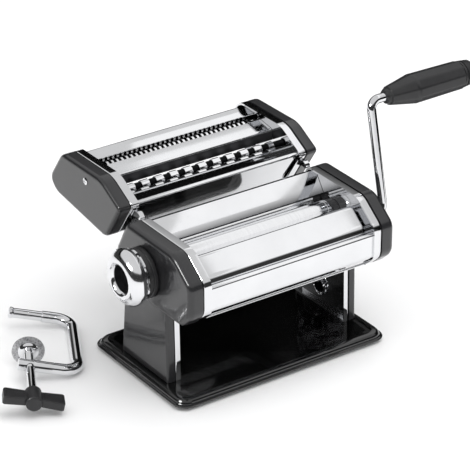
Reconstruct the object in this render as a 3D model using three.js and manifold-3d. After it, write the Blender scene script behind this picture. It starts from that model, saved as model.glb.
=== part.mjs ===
// Hand-cranked pasta roller machine: two smooth rollers in a steel body, a lift-off
// cutter attachment, a crank and a table clamp lying beside it.
// Millimetres; +X to the crank side, -Y to the front, +Z up, table at z = 0.
import * as THREE from 'three';
import { mergeVertices } from 'three/addons/utils/BufferGeometryUtils.js';
import Module from 'manifold-3d';

const wasm = await Module();
wasm.setup();

// ---------- driving dimensions ----------
const CLEAR = 0.3;            // gap kept between touching pieces
const SHEET = 1.2;            // thickness of the folded steel panels
const WALL = 1.5;             // thickness of the side frames
const FRAME_OUT = 84;         // outer face of the side frames, from the middle
const FLANGE = 7;             // width of the flange folded inwards
const PLATE_IN = FRAME_OUT - WALL;
const SPAN = PLATE_IN - CLEAR; // half length of what fits between the side frames
const COVER_IN = FRAME_OUT + CLEAR;
const COVER_OUT = 97;         // face of the body covers
const LEG_OUT = 91.5;         // face of the covers over the legs
const CUTTER_COVER_OUT = 95.5;

// Side outline of the body: [y, z, corner cut]
const BODY_OUTLINE = [
  [12, 131, 4], [-53.5, 130.5, 5], [-77.5, 112.5, 5], [-77.5, 86, 5],
  [-64, 73.5, 5], [22, 73.5, 4], [28, 84, 4], [28, 103, 5],
];
const BASE_TOP = 8.8;
const LEG_OUTLINE = [
  [-35, 90, 1], [-37, BASE_TOP + CLEAR, 1], [30, BASE_TOP + CLEAR, 1], [22, 90, 1],
];
// Side outline of the cutter attachment
const CUTTER_OUTLINE = [
  [109, 152, 6], [49.5, 152.5, 6], [21.5, 137.4, 4], [44, 103, 6], [119, 113.5, 5], [129, 124, 7],
];

const BASE = { halfX: 100.4, front: -69, rear: 61, bottom: 2.5, corner: 11, lip: 3 };
const FOOT = { r: 8.5, x: 85, front: -54, rear: 46 };

const ROLLER_R = 12;
const ROLLER_HALF = 75;       // half length of the polished rollers: 150 mm rollers
const ROLLER_GAP = 3;         // at the widest setting, shown at rest
const SHAFT_R = 4.7;
const FRONT_AXIS = [-16.5, 100.5];
const REAR_AXIS = [FRONT_AXIS[0] + 2 * ROLLER_R + ROLLER_GAP, FRONT_AXIS[1]];
const GAP_TRAVEL = 2.6;       // the front roller closes the gap to 0.4
const DRIVE_AXIS = [-41, 102.3];
const GEAR = { teeth: 14, tip: 13.6, root: 10.2, from: 86, to: 92 };

const CRANK = { r: 3.7, plane: 114, reach: 91.5, lean: 13, bend: 9, gripIn: 128 };
const DIAL_AXIS = [FRONT_AXIS[0] + GAP_TRAVEL / 2, FRONT_AXIS[1]];

const FINE_AXES = [[103.8, 137.7], [91.2, 137.7]];
const WIDE_AXES = [[61.4, 130], [50, 130]];
const FINE_R = 6.1;
const WIDE_R = 5.5;

// The overall box is centred on x = 0, y = 0 by this shift of the machine
const TO_ORIGIN = [0.607, -24.58, 0];

const FINISH = {
  chrome: { color: 0xd9dbdd, roughness: 0.1, metalness: 1 },
  steel: { color: 0xb4b7ba, roughness: 0.3, metalness: 1 },
  cover: { color: 0x2f2f31, roughness: 0.28, metalness: 0.1 },
  base: { color: 0x08080a, roughness: 0.08, metalness: 0.1 },
  plastic: { color: 0x1d1d1f, roughness: 0.45, metalness: 0 },
  rubber: { color: 0x101010, roughness: 0.8, metalness: 0 },
};

// ---------- geometry helpers ----------

// Flips a closed geometry whose faces point inwards.
function outward(geometry) {
  const flat = geometry.index ? geometry.toNonIndexed() : geometry.clone();
  const p = flat.attributes.position;
  const [a, b, c] = [new THREE.Vector3(), new THREE.Vector3(), new THREE.Vector3()];
  let volume = 0;
  for (let i = 0; i < p.count; i += 3) {
    a.fromBufferAttribute(p, i);
    b.fromBufferAttribute(p, i + 1);
    c.fromBufferAttribute(p, i + 2);
    volume += a.dot(b.cross(c));
  }
  if (volume >= 0) return flat;
  for (let i = 0; i < p.count; i += 3) {
    b.fromBufferAttribute(p, i + 1);
    c.fromBufferAttribute(p, i + 2);
    p.setXYZ(i + 1, c.x, c.y, c.z);
    p.setXYZ(i + 2, b.x, b.y, b.z);
  }
  return flat;
}

function toManifold(geometry) {
  const bare = outward(geometry);
  bare.deleteAttribute('normal');
  bare.deleteAttribute('uv');
  const merged = mergeVertices(bare, 1e-4);
  return new wasm.Manifold(new wasm.Mesh({
    numProp: 3,
    vertProperties: new Float32Array(merged.attributes.position.array),
    triVerts: new Uint32Array(merged.index.array),
  }));
}

function fromManifold(manifold) {
  const mesh = manifold.getMesh();
  const geometry = new THREE.BufferGeometry();
  geometry.setAttribute('position', new THREE.BufferAttribute(mesh.vertProperties, 3));
  geometry.setIndex(new THREE.BufferAttribute(mesh.triVerts, 1));
  return geometry;
}

const join = (...parts) => fromManifold(parts.map(toManifold).reduce((a, b) => a.add(b)));
const cut = (whole, ...tools) =>
  fromManifold(tools.map(toManifold).reduce((a, b) => a.subtract(b), toManifold(whole)));
const overlapOf = (a, b) => fromManifold(toManifold(a).intersect(toManifold(b)));

function box(x0, x1, y0, y1, z0, z1) {
  const geometry = new THREE.BoxGeometry(x1 - x0, y1 - y0, z1 - z0);
  return geometry.translate((x0 + x1) / 2, (y0 + y1) / 2, (z0 + z1) / 2);
}

// Moves a closed outline inwards by d, corner by corner.
function inset(outline, d) {
  const n = outline.length;
  const turn = outline.reduce((sum, [x, y], i) => {
    const [nx, ny] = outline[(i + 1) % n];
    return sum + x * ny - nx * y;
  }, 0);
  const side = Math.sign(turn);
  return outline.map((corner, i) => {
    const p = new THREE.Vector2(corner[0], corner[1]);
    const before = new THREE.Vector2(...outline[(i + n - 1) % n].slice(0, 2));
    const after = new THREE.Vector2(...outline[(i + 1) % n].slice(0, 2));
    const u = p.clone().sub(before).normalize();
    const v = after.sub(p).normalize();
    const normalU = new THREE.Vector2(-u.y, u.x);
    const normalV = new THREE.Vector2(-v.y, v.x);
    const bisector = normalU.add(normalV);
    const scale = 2 * side * d / bisector.lengthSq();
    return [p.x + bisector.x * scale, p.y + bisector.y * scale, Math.max(0.5, (corner[2] ?? 0) - d / 2)];
  });
}

// A closed shape whose corners are cut back by their third value and rounded.
function roundedShape(outline) {
  const shape = new THREE.Shape();
  const n = outline.length;
  outline.forEach(([x, y, r], i) => {
    const p = new THREE.Vector2(x, y);
    const before = new THREE.Vector2(...outline[(i + n - 1) % n].slice(0, 2));
    const after = new THREE.Vector2(...outline[(i + 1) % n].slice(0, 2));
    const start = before.sub(p).setLength(r).add(p);
    const end = after.sub(p).setLength(r).add(p);
    if (i === 0) shape.moveTo(start.x, start.y);
    else shape.lineTo(start.x, start.y);
    shape.quadraticCurveTo(x, y, end.x, end.y);
  });
  shape.closePath();
  return shape;
}

// The stretch of an outline round the corners first..last, rounded as the outline is.
function outlineRun(outline, corners) {
  const n = outline.length;
  return corners.flatMap((i) => {
    const [x, y, r] = outline[i];
    const p = new THREE.Vector2(x, y);
    const start = new THREE.Vector2(...outline[(i + n - 1) % n].slice(0, 2)).sub(p).setLength(r).add(p);
    const end = new THREE.Vector2(...outline[(i + 1) % n].slice(0, 2)).sub(p).setLength(r).add(p);
    const middle = start.clone().add(end).multiplyScalar(0.25).addScaledVector(p, 0.5);
    return [start.toArray(), middle.toArray(), end.toArray()];
  });
}

// Extrudes a shape drawn in (y, z) along +X from x0 to x1.
function alongX(shape, x0, x1, options = {}) {
  const geometry = new THREE.ExtrudeGeometry(shape, {
    depth: x1 - x0, bevelEnabled: false, curveSegments: 3, ...options,
  });
  const toRow = new THREE.Matrix4().set(0, 0, 1, x0, 1, 0, 0, 0, 0, 1, 0, 0, 0, 0, 0, 1);
  return geometry.applyMatrix4(toRow);
}

// A solid of revolution about the line through (y, z) along X; profile is [x, radius].
function turned(profile, [y, z], segments = 24) {
  const points = profile.map(([x, r]) => new THREE.Vector2(r, x));
  const geometry = new THREE.LatheGeometry(points, segments);
  return geometry.rotateZ(-Math.PI / 2).translate(0, y, z);
}

const rod = (x0, x1, r, axis, segments = 16) =>
  turned([[x0, 0], [x0, r], [x1, r], [x1, 0]], axis, segments);
const ring = (x0, x1, rIn, rOut, axis, segments = 24) =>
  turned([[x0, rIn], [x0, rOut], [x1, rOut], [x1, rIn], [x0, rIn]], axis, segments);

// A folded sheet: a polyline in (y, z) given a thickness.
function foldedShape(path, thickness) {
  const points = path.map(([y, z]) => new THREE.Vector2(y, z));
  const offsets = points.map((p, i) => {
    const u = i > 0 ? p.clone().sub(points[i - 1]).normalize() : null;
    const v = i < points.length - 1 ? points[i + 1].clone().sub(p).normalize() : null;
    const a = u ?? v;
    const b = v ?? u;
    const bisector = new THREE.Vector2(-a.y - b.y, a.x + b.x);
    return bisector.multiplyScalar(thickness / bisector.lengthSq());
  });
  const left = points.map((p, i) => p.clone().add(offsets[i]));
  const right = points.map((p, i) => p.clone().sub(offsets[i]));
  return new THREE.Shape([...left, ...right.reverse()]);
}

const sheet = (path, half = SPAN, thickness = SHEET) => alongX(foldedShape(path, thickness), -half, half);

function mirrorX(geometry) {
  return outward(geometry.clone().scale(-1, 1, 1));
}

// Part of an arc about (cy, cz), as points, angles in degrees from +Y towards +Z.
function arcPoints([cy, cz], r, from, to, count) {
  return Array.from({ length: count + 1 }, (_, i) => {
    const a = THREE.MathUtils.degToRad(from + (to - from) * i / count);
    return [cy + r * Math.cos(a), cz + r * Math.sin(a)];
  });
}

// A round bar along straight runs joined by bends.
function bentBar(corners, bend, r, steps) {
  const path = new THREE.CurvePath();
  const points = corners.map((c) => new THREE.Vector3(...c));
  let from = points[0];
  for (let i = 1; i < points.length - 1; i += 1) {
    const p = points[i];
    const start = points[i - 1].clone().sub(p).setLength(bend).add(p);
    const end = points[i + 1].clone().sub(p).setLength(bend).add(p);
    path.add(new THREE.LineCurve3(from, start));
    path.add(new THREE.QuadraticBezierCurve3(start, p, end));
    from = end;
  }
  path.add(new THREE.LineCurve3(from, points[points.length - 1]));
  const section = new THREE.Shape().absarc(0, 0, r, 0, 2 * Math.PI, false);
  return new THREE.ExtrudeGeometry(section, {
    steps, curveSegments: 5, bevelEnabled: false, extrudePath: path,
  });
}

const machine = new THREE.Group();

function node(name, geometry, finish, parent = machine) {
  const solid = outward(geometry);
  solid.computeVertexNormals();
  const mesh = new THREE.Mesh(solid, new THREE.MeshStandardMaterial(FINISH[finish]));
  mesh.name = name;
  parent.add(mesh);
  return mesh;
}

// Adds a piece for the right side and its mirror image for the left.
function pair(name, geometry, finish) {
  node(`right_${name}`, geometry, finish);
  node(`left_${name}`, mirrorX(geometry), finish);
}

// ---------- base and feet ----------
function basePlate() {
  const { halfX, front, rear, bottom, corner, lip } = BASE;
  const rectangle = (grow) => roundedShape([
    [halfX + grow, rear + grow, corner], [-halfX - grow, rear + grow, corner],
    [-halfX - grow, front - grow, corner], [halfX + grow, front - grow, corner],
  ]);
  const edge = 2.4;
  const plate = new THREE.ExtrudeGeometry(rectangle(-lip), {
    depth: BASE_TOP - bottom - 2 * edge, curveSegments: 5,
    bevelThickness: edge, bevelSize: lip, bevelSegments: 3,
  }).translate(0, 0, bottom + edge);
  const hollow = new THREE.ExtrudeGeometry(rectangle(-lip - 1.2), {
    depth: 4, curveSegments: 5, bevelEnabled: false,
  }).translate(0, 0, 1.5);
  return cut(plate, hollow);
}
node('base_plate', basePlate(), 'base');

for (const [where, y] of [['front', FOOT.front], ['rear', FOOT.rear]]) {
  const foot = new THREE.CylinderGeometry(FOOT.r, FOOT.r - 0.8, 5.2, 24).rotateX(Math.PI / 2);
  pair(`${where}_foot`, foot.translate(FOOT.x, y, 2.6), 'rubber');
}

// ---------- side frames and covers ----------
function sideFrame() {
  const tray = (outline, x0, x1) => alongX(roundedShape(outline), x0, x1);
  const outer = join(tray(BODY_OUTLINE, FRAME_OUT - FLANGE, FRAME_OUT),
    tray(LEG_OUTLINE, FRAME_OUT - FLANGE + 2.5, FRAME_OUT));
  const legInside = inset(LEG_OUTLINE, WALL).map(([y, z, r]) => [y, z < 20 ? z - 2 * WALL : z, r]);
  return cut(outer,
    tray(inset(BODY_OUTLINE, WALL), FRAME_OUT - FLANGE - 1, PLATE_IN),
    tray(legInside, FRAME_OUT - FLANGE - 1, PLATE_IN),
    rod(PLATE_IN - 1, FRAME_OUT + 1, SHAFT_R + CLEAR, REAR_AXIS),
    alongX(roundedShape([
      [FRONT_AXIS[0] - 6, FRONT_AXIS[1] + 5.2, 3], [FRONT_AXIS[0] + 8.6, FRONT_AXIS[1] + 5.2, 3],
      [FRONT_AXIS[0] + 8.6, FRONT_AXIS[1] - 5.2, 3], [FRONT_AXIS[0] - 6, FRONT_AXIS[1] - 5.2, 3],
    ]), PLATE_IN - 1, FRAME_OUT + 1),
    rod(PLATE_IN - 1, FRAME_OUT + 1, 5.4, DRIVE_AXIS));
}
const frameShape = sideFrame();
const CLAMP_HOLE = { axis: [-1, 27], rIn: 5.8, rOut: 8.8 };
node('right_side_frame', cut(frameShape,
  rod(PLATE_IN - 1, FRAME_OUT + 1, CLAMP_HOLE.rIn, CLAMP_HOLE.axis)), 'chrome');
node('left_side_frame', mirrorX(frameShape), 'chrome');

// A hollow shell with a rounded outer edge, open towards the side frame.
function coverShell(outline, depthOut, edge) {
  const face = inset(outline, edge);
  const body = alongX(roundedShape(face), COVER_IN - edge, depthOut - edge, {
    bevelEnabled: true, bevelThickness: edge, bevelSize: edge, bevelSegments: 3,
  });
  const inner = alongX(roundedShape(inset(outline, 2.5)), COVER_IN - 1, depthOut - 2.5);
  return { body: overlapOf(body, box(COVER_IN, depthOut + 1, -200, 200, -10, 200)), inner };
}

function bodyCover() {
  const upper = coverShell(BODY_OUTLINE, COVER_OUT, 4.5);
  const leg = coverShell(LEG_OUTLINE, LEG_OUT, 2.5);
  return cut(join(upper.body, leg.body), upper.inner, leg.inner);
}
const cover = bodyCover();
node('right_side_cover', cut(cover, rod(90, 100, CRANK.r + CLEAR, DRIVE_AXIS)), 'cover');
node('left_side_cover', mirrorX(cut(cover, rod(90, 100, 7, DIAL_AXIS))), 'cover');

// ---------- body panels ----------
const inner = inset(BODY_OUTLINE, WALL + CLEAR + SHEET / 2);
node('rear_hopper_plate', sheet([[9.2, 127.6], [-2.2, 111.8]]), 'chrome');
node('front_sloped_panel', sheet([
  [-30.2, 112.2], [-50.2, 121.6], [-52.4, 121.9], [-66.6, 111.2], [-68.6, 109], [-69.4, 106], [-69.4, 103],
]), 'chrome');
node('front_lower_panel', sheet([
  ...arcPoints([-73.2, 105], 1.9, 10, 170, 4), ...outlineRun(inner, [3, 4]),
  [inner[4][0] + 8, inner[4][1]],
], SPAN, 1), 'chrome');
node('rear_panel', sheet([
  [inner[5][0] - 9, inner[5][1]], ...outlineRun(inner, [5, 6, 7]), [inner[0][0] + 1.4, inner[0][1] - 3],
]), 'steel');

// ---------- inner frame: tie rods, scrapers, bushes ----------
for (const [where, axis] of [['front', [-46, 83]], ['rear', [16, 81.5]]]) {
  node(`${where}_tie_rod`, rod(-SPAN, SPAN, 3, axis, 12), 'steel');
}
node('front_scraper', sheet([[-42, 84.6], [-26.5, 86.4], [-23.4, 89.4]], 73.5, 0.8), 'steel');
node('rear_scraper', sheet([[18, 85.2], [10.5, 86.3], [8, 87.6]], 73.5, 0.8), 'steel');

const bushX = [ROLLER_HALF + CLEAR, SPAN];
pair('rear_roller_bush', ring(...bushX, SHAFT_R + CLEAR, 11.4, REAR_AXIS, 24), 'plastic');
pair('front_roller_bush', ring(...bushX, SHAFT_R + CLEAR, 11.4, FRONT_AXIS, 24), 'plastic');
node('drive_shaft_bush', ring(78.6, SPAN, 5.4, 12.4, DRIVE_AXIS, 24), 'chrome');

// Ring that takes the upper arm of the clamp, in the wall of the right leg
node('clamp_socket', turned([
  [PLATE_IN - 2.6, CLAMP_HOLE.rIn + 1], [PLATE_IN - 2.6, CLAMP_HOLE.rOut - 1.4],
  [PLATE_IN - CLEAR, CLAMP_HOLE.rOut], [PLATE_IN - CLEAR, CLAMP_HOLE.rIn],
  [PLATE_IN - 2.6, CLAMP_HOLE.rIn + 1],
], CLAMP_HOLE.axis, 24), 'chrome');

// ---------- rollers and gears ----------
function roller(axis, leftEnd, rightEnd) {
  return turned([
    [leftEnd, 0], [leftEnd, SHAFT_R], [-ROLLER_HALF, SHAFT_R], [-ROLLER_HALF, ROLLER_R],
    [ROLLER_HALF, ROLLER_R], [ROLLER_HALF, SHAFT_R], [rightEnd, SHAFT_R], [rightEnd, 0],
  ], axis, 28);
}

// A spur gear; toothAt is the angle of one tooth, in degrees from +Y towards +Z.
function gear([cy, cz], toothAt, boreR) {
  const pitch = 360 / GEAR.teeth;
  const corners = [];
  for (let i = 0; i < GEAR.teeth; i += 1) {
    for (const [r, share] of [[GEAR.root, -0.3], [GEAR.tip, -0.11], [GEAR.tip, 0.11], [GEAR.root, 0.3]]) {
      const a = THREE.MathUtils.degToRad(toothAt + (i + share) * pitch);
      corners.push(new THREE.Vector2(cy + r * Math.cos(a), cz + r * Math.sin(a)));
    }
  }
  const shape = new THREE.Shape(corners);
  shape.holes.push(new THREE.Path().absarc(cy, cz, boreR, 0, 2 * Math.PI, true));
  return alongX(shape, GEAR.from, GEAR.to, { curveSegments: 10 });
}

const halfPitch = 180 / GEAR.teeth;
const driveLine = THREE.MathUtils.radToDeg(
  Math.atan2(DRIVE_AXIS[1] - FRONT_AXIS[1], FRONT_AXIS[0] - DRIVE_AXIS[0]));
const shaftEnd = GEAR.to + 0.6;
node('front_roller', roller(FRONT_AXIS, -PLATE_IN - 3.5, shaftEnd), 'chrome');
node('rear_roller', roller(REAR_AXIS, -PLATE_IN - 3.5, shaftEnd), 'chrome');
node('front_roller_gear', gear(FRONT_AXIS, 0, SHAFT_R + CLEAR), 'steel');
node('rear_roller_gear', gear(REAR_AXIS, 180 + halfPitch, SHAFT_R + CLEAR), 'steel');
node('drive_gear', join(
  gear(DRIVE_AXIS, halfPitch - 2 * driveLine, CRANK.r + CLEAR),
  turned([[GEAR.from - 7, 0], [GEAR.from - 7, 5], [GEAR.from + 0.5, 5], [GEAR.from + 0.5, 4.2],
    [GEAR.from - 2, 4.2], [GEAR.from - 2, 0]], DRIVE_AXIS),
), 'steel');

// ---------- crank ----------
const GRIP_END = 203;
const lean = THREE.MathUtils.degToRad(CRANK.lean);
const GRIP_AXIS = [
  DRIVE_AXIS[0] + CRANK.reach * Math.sin(lean), DRIVE_AXIS[1] + CRANK.reach * Math.cos(lean),
];
node('crank_arm', bentBar([
  [GEAR.from + CLEAR, ...DRIVE_AXIS], [CRANK.plane, ...DRIVE_AXIS],
  [CRANK.plane, ...GRIP_AXIS], [CRANK.gripIn + 60, ...GRIP_AXIS],
], CRANK.bend, CRANK.r, 44), 'chrome');

const bore = CRANK.r + CLEAR;
node('grip', turned([
  [CRANK.gripIn, bore], [CRANK.gripIn, 6], [131, 6.6], [132, 8], [153, 12.3], [157, 12.6],
  [GRIP_END, 12], [GRIP_END, bore + 2], [190, bore + 2], [190, bore], [CRANK.gripIn, bore],
], GRIP_AXIS, 12), 'plastic');
node('grip_end_cap', turned([
  [GRIP_END + CLEAR, 0], [GRIP_END + CLEAR, 11.2], [205, 11.2], [205.6, 10.4], [206.4, 11], [214, 9.8],
  [216, 7.6], [216, 0],
], GRIP_AXIS, 24), 'plastic');

// ---------- thickness dial on the left side ----------
node('dial_shaft', rod(-112, -PLATE_IN - 4, 4.6, DIAL_AXIS), 'steel');
const SPRING = { from: -98.6, length: 6.2, coilR: 6.6, wireR: 0.6, turns: 4 };
class Helix extends THREE.Curve {
  getPoint(t, target = new THREE.Vector3()) {
    const a = t * SPRING.turns * 2 * Math.PI;
    const [y, z] = DIAL_AXIS;
    return target.set(SPRING.from - SPRING.length * t,
      y + SPRING.coilR * Math.cos(a), z + SPRING.coilR * Math.sin(a));
  }
}
const wire = new THREE.Shape().absarc(0, 0, SPRING.wireR, 0, 2 * Math.PI, false);
node('dial_spring', new THREE.ExtrudeGeometry(wire, {
  steps: 48, curveSegments: 3, bevelEnabled: false, extrudePath: new Helix(),
}), 'steel');
const SKIRT = { from: -97.4, to: -105.5, bore: 8.4 };
node('dial_skirt', turned([
  [SKIRT.from, 18.6], [SKIRT.from, 20.2], [-98.4, 20.8], [-104.5, 20.2], [SKIRT.to, 19.4],
  [SKIRT.to, SKIRT.bore], [SKIRT.from, SKIRT.bore], [SKIRT.from, 18.6],
], DIAL_AXIS, 28), 'plastic');
const CAP_BACK = -108.5;
node('dial_notch_ring', ring(CAP_BACK + CLEAR, SKIRT.to - CLEAR, SKIRT.bore, 21.6, DIAL_AXIS, 28), 'chrome');
// A domed rim round a dished middle
node('dial_cap', turned([
  [CAP_BACK, 5], [CAP_BACK, 21.6], [-109.3, 22.6], [-111.4, 23.4], [-113.4, 23.4], [-115.4, 22.4],
  [-118.2, 20.4], [-120.6, 17], [-121.2, 14.4], [-120.2, 12.4], [-116.8, 10.6], [-113, 8.6],
  [-112.6, 0], [-112.3, 0], [-112.3, 5], [CAP_BACK, 5],
], DIAL_AXIS, 28), 'chrome');

// ---------- cutter attachment ----------
function cutterFrame() {
  return cut(alongX(roundedShape(CUTTER_OUTLINE), FRAME_OUT - FLANGE, FRAME_OUT),
    alongX(roundedShape(inset(CUTTER_OUTLINE, WALL)), FRAME_OUT - FLANGE - 1, PLATE_IN),
    ...[...FINE_AXES, ...WIDE_AXES].map((axis) => rod(PLATE_IN - 1, FRAME_OUT + 1, 3.3, axis, 16)));
}
pair('cutter_frame', cutterFrame(), 'chrome');
const cutterShell = coverShell(CUTTER_OUTLINE, CUTTER_COVER_OUT, 4);
const cutterCover = cut(cutterShell.body, cutterShell.inner);
const SCREW_AT = [72, 142];
node('right_cutter_cover', cutterCover, 'cover');
node('left_cutter_cover', mirrorX(cut(cutterCover, rod(92, 97, 2, SCREW_AT, 12))), 'cover');
node('left_cutter_cover_screw', turned([
  [-CUTTER_COVER_OUT - 1.1, 0], [-CUTTER_COVER_OUT - 1, 1.6], [-CUTTER_COVER_OUT - CLEAR, 3],
  [-CUTTER_COVER_OUT - CLEAR, 1.6], [-CUTTER_COVER_OUT + 6, 1.6], [-CUTTER_COVER_OUT + 6, 0],
], SCREW_AT, 16), 'chrome');

const cutterInner = inset(CUTTER_OUTLINE, WALL + CLEAR + SHEET / 2);
node('cutter_rear_plate', sheet([
  [95.5, 144.5], [110.4, 145.6], [cutterInner[5][0] - 4, cutterInner[5][1] + 6],
]), 'chrome');
node('cutter_middle_plate', sheet([
  [85.4, 142.6], [70.1, 140.4], [68.8, 131.4],
]), 'chrome');
node('cutter_front_plate', sheet([
  [44.5, 135], [29.6, 136.8], ...arcPoints([27.5, 135.3], 1.9, 60, 170, 3),
  ...outlineRun(cutterInner, [3]), [cutterInner[3][0] + 12, cutterInner[3][1] + 2],
]), 'chrome');
node('cutter_lower_plate', sheet([
  [cutterInner[4][0] - 16, cutterInner[4][1] - 2], ...outlineRun(cutterInner, [4]),
  outlineRun(cutterInner, [5])[0],
]), 'steel');
node('cutter_tie_rod', rod(-SPAN, SPAN, 3, [66, 112], 12), 'steel');

const CUTTING_HALF = 77;      // half length of a cutting roller's working part
const NECK_R = 3;
for (const [set, axes, r] of [['fine', FINE_AXES, FINE_R], ['wide', WIDE_AXES, WIDE_R]]) {
  axes.forEach((axis, i) => {
    const side = i === 0 ? 'rear' : 'front';
    node(`${set}_cutter_${side}`, turned([
      [-GEAR.from, 0], [-GEAR.from, NECK_R], [-CUTTING_HALF, NECK_R], [-CUTTING_HALF, r],
      [CUTTING_HALF, r], [CUTTING_HALF, NECK_R], [GEAR.from, NECK_R],
      [GEAR.from, r - 0.2], [GEAR.from + 5, r - 0.2], [GEAR.from + 5, 0],
    ], axis, 16), 'chrome');
  });
}
// Combs that lift the cut strips off, halfway between the two rollers of a set
const COMB = { half: 76, thick: 1, tall: 4.8 };
for (const [set, [rear, front], bottom] of [['fine', FINE_AXES, 124.4], ['wide', WIDE_AXES, 117.6]]) {
  const y = (rear[0] + front[0]) / 2;
  node(`${set}_comb`, sheet([[y, bottom], [y, bottom + COMB.tall]], COMB.half, COMB.thick), 'steel');
}

// Hooks that hang the attachment on the body's rear edges
const HOOK = { from: 77.4, to: 81.5 };
const hook = alongX(roundedShape([
  [24.2, 132.6, 1], [17.5, 132.8, 2], [14.2, 129.6, 1], [15.6, 127.2, 1], [19.4, 128.4, 1], [28, 126.4, 1],
]), HOOK.from, HOOK.to);
pair('cutter_hook', hook, 'chrome');

// ---------- table clamp, lying on the table on its spine, pad and wing knob ----------
const CLAMP = {
  r: 4.8, spine: 83, arm: 50, bend: 13, tail: 9.5, screwAt: 39, screwR: 3.6, padR: 13.2, knob: -51,
};
const clamp = new THREE.Group();
clamp.position.set(-135.4, 24.8, 4.9);
clamp.rotation.set(0, THREE.MathUtils.degToRad(12.5), THREE.MathUtils.degToRad(-27.5), 'ZYX');
machine.add(clamp);

// Local frame: spine along +Y from the lower corner, arms along -X, screw along Y.
const upright = (profile, x, segments) => new THREE.LatheGeometry(
  profile.map(([y, r]) => new THREE.Vector2(r, y)), segments).translate(x, 0, 0);
const screwX = -CLAMP.screwAt;
const screwBore = CLAMP.screwR + CLEAR;
node('clamp_frame', cut(
  bentBar([
    [-CLAMP.arm - 2, CLAMP.spine, 0], [0, CLAMP.spine, 0], [0, 0, 0], [screwX - CLAMP.tail, 0, 0],
  ], CLAMP.bend, CLAMP.r, 40),
  upright([[-7, 0], [-7, screwBore], [7, screwBore], [7, 0]], screwX, 16),
), 'chrome', clamp);
node('clamp_pad', upright([
  [19.5, 0], [19.5, 4.4], [20.5, 8.5], [22.2, CLAMP.padR], [23.6, CLAMP.padR], [23.6, 0],
], screwX, 28), 'chrome', clamp);
node('clamp_screw', upright([
  [-46, 0], [-46, CLAMP.screwR], [18.2, CLAMP.screwR], [19.2, 2.6], [19.2, 0],
], screwX, 16), 'chrome', clamp);

function wingKnob() {
  const blade = new THREE.ExtrudeGeometry(roundedShape([
    [23, 6.4, 2.4], [8, 5.4, 3], [0, 8.6, 5], [-8, 5.4, 3], [-23, 6.4, 2.4],
    [-23.4, -7.2, 2.4], [-8, -5, 3], [0, -8.6, 5], [8, -5, 3], [23.4, -7.2, 2.4],
  ]), { depth: 4.4, curveSegments: 3, bevelThickness: 1.2, bevelSize: 1.2, bevelSegments: 2 })
    .translate(0, 0, -2.2);
  const hub = upright([[-9, 0], [-9, 4.6], [-8, 6.4], [9, 6.8], [10, 5.4], [10, 0]], 0, 20);
  const socket = upright([[-4, 0], [-4, screwBore], [11, screwBore], [11, 0]], 0, 16);
  return cut(join(blade, hub), socket).translate(screwX, CLAMP.knob, 0);
}
node('wing_knob', wingKnob(), 'plastic', clamp);

machine.position.set(...TO_ORIGIN);

export default machine;
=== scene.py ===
"""Pasta roller machine with its cutter attachment, crank and table clamp, as finished pieces.

Each operator makes one piece, or a group of like pieces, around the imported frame.
Lengths inside the builders are millimetres in the machine's own frame: X along the
rollers to the crank, Y to the back, Z up from the table; place() turns them to metres.
"""
import math

import bmesh
import bpy
from mathutils import Matrix, Vector


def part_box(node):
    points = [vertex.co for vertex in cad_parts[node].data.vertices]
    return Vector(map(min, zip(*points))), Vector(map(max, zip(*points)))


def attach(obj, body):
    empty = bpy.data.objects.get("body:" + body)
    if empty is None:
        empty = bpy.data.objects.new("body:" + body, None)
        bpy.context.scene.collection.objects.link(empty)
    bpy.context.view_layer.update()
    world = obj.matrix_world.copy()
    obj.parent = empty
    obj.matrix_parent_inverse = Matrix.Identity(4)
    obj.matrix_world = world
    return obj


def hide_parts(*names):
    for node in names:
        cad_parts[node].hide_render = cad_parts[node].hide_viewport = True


bl_info = {
    "name": "Pasta Roller Machine",
    "version": (1, 0, 0),
    "blender": (4, 5, 0),
    "location": "View3D > Sidebar > Pasta Machine",
    "description": "Builds the finished pieces of a hand-cranked pasta roller machine",
    "category": "Object",
}

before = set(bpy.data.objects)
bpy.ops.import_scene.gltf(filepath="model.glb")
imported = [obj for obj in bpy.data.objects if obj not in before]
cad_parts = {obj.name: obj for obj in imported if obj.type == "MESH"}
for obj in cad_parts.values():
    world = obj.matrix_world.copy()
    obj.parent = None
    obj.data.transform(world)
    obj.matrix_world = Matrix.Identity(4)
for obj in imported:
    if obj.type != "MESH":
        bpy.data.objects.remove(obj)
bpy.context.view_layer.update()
MM = 0.001

# The machine's own zero, in the row frame: the middle between the side frames, and
# the line 77.5 mm behind the front of the body.
BODY_FRONT = -77.5
_left, _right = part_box("left_side_frame"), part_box("right_side_frame")
ZERO = Vector(((_left[0].x + _right[1].x) / 2, _right[0].y - BODY_FRONT * MM, 0.0))
TO_ROW = Matrix.Translation(ZERO) @ Matrix.Scale(MM, 4)


def extent(node):
    """Lowest and highest corner of a CAD node, in millimetres in the machine's frame."""
    low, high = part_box(node)
    return (low - ZERO) / MM, (high - ZERO) / MM


def axis_of(node):
    """The (y, z) of the axis of a part turned about a line along X."""
    low, high = extent(node)
    return (low.y + high.y) / 2, (low.z + high.z) / 2


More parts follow.
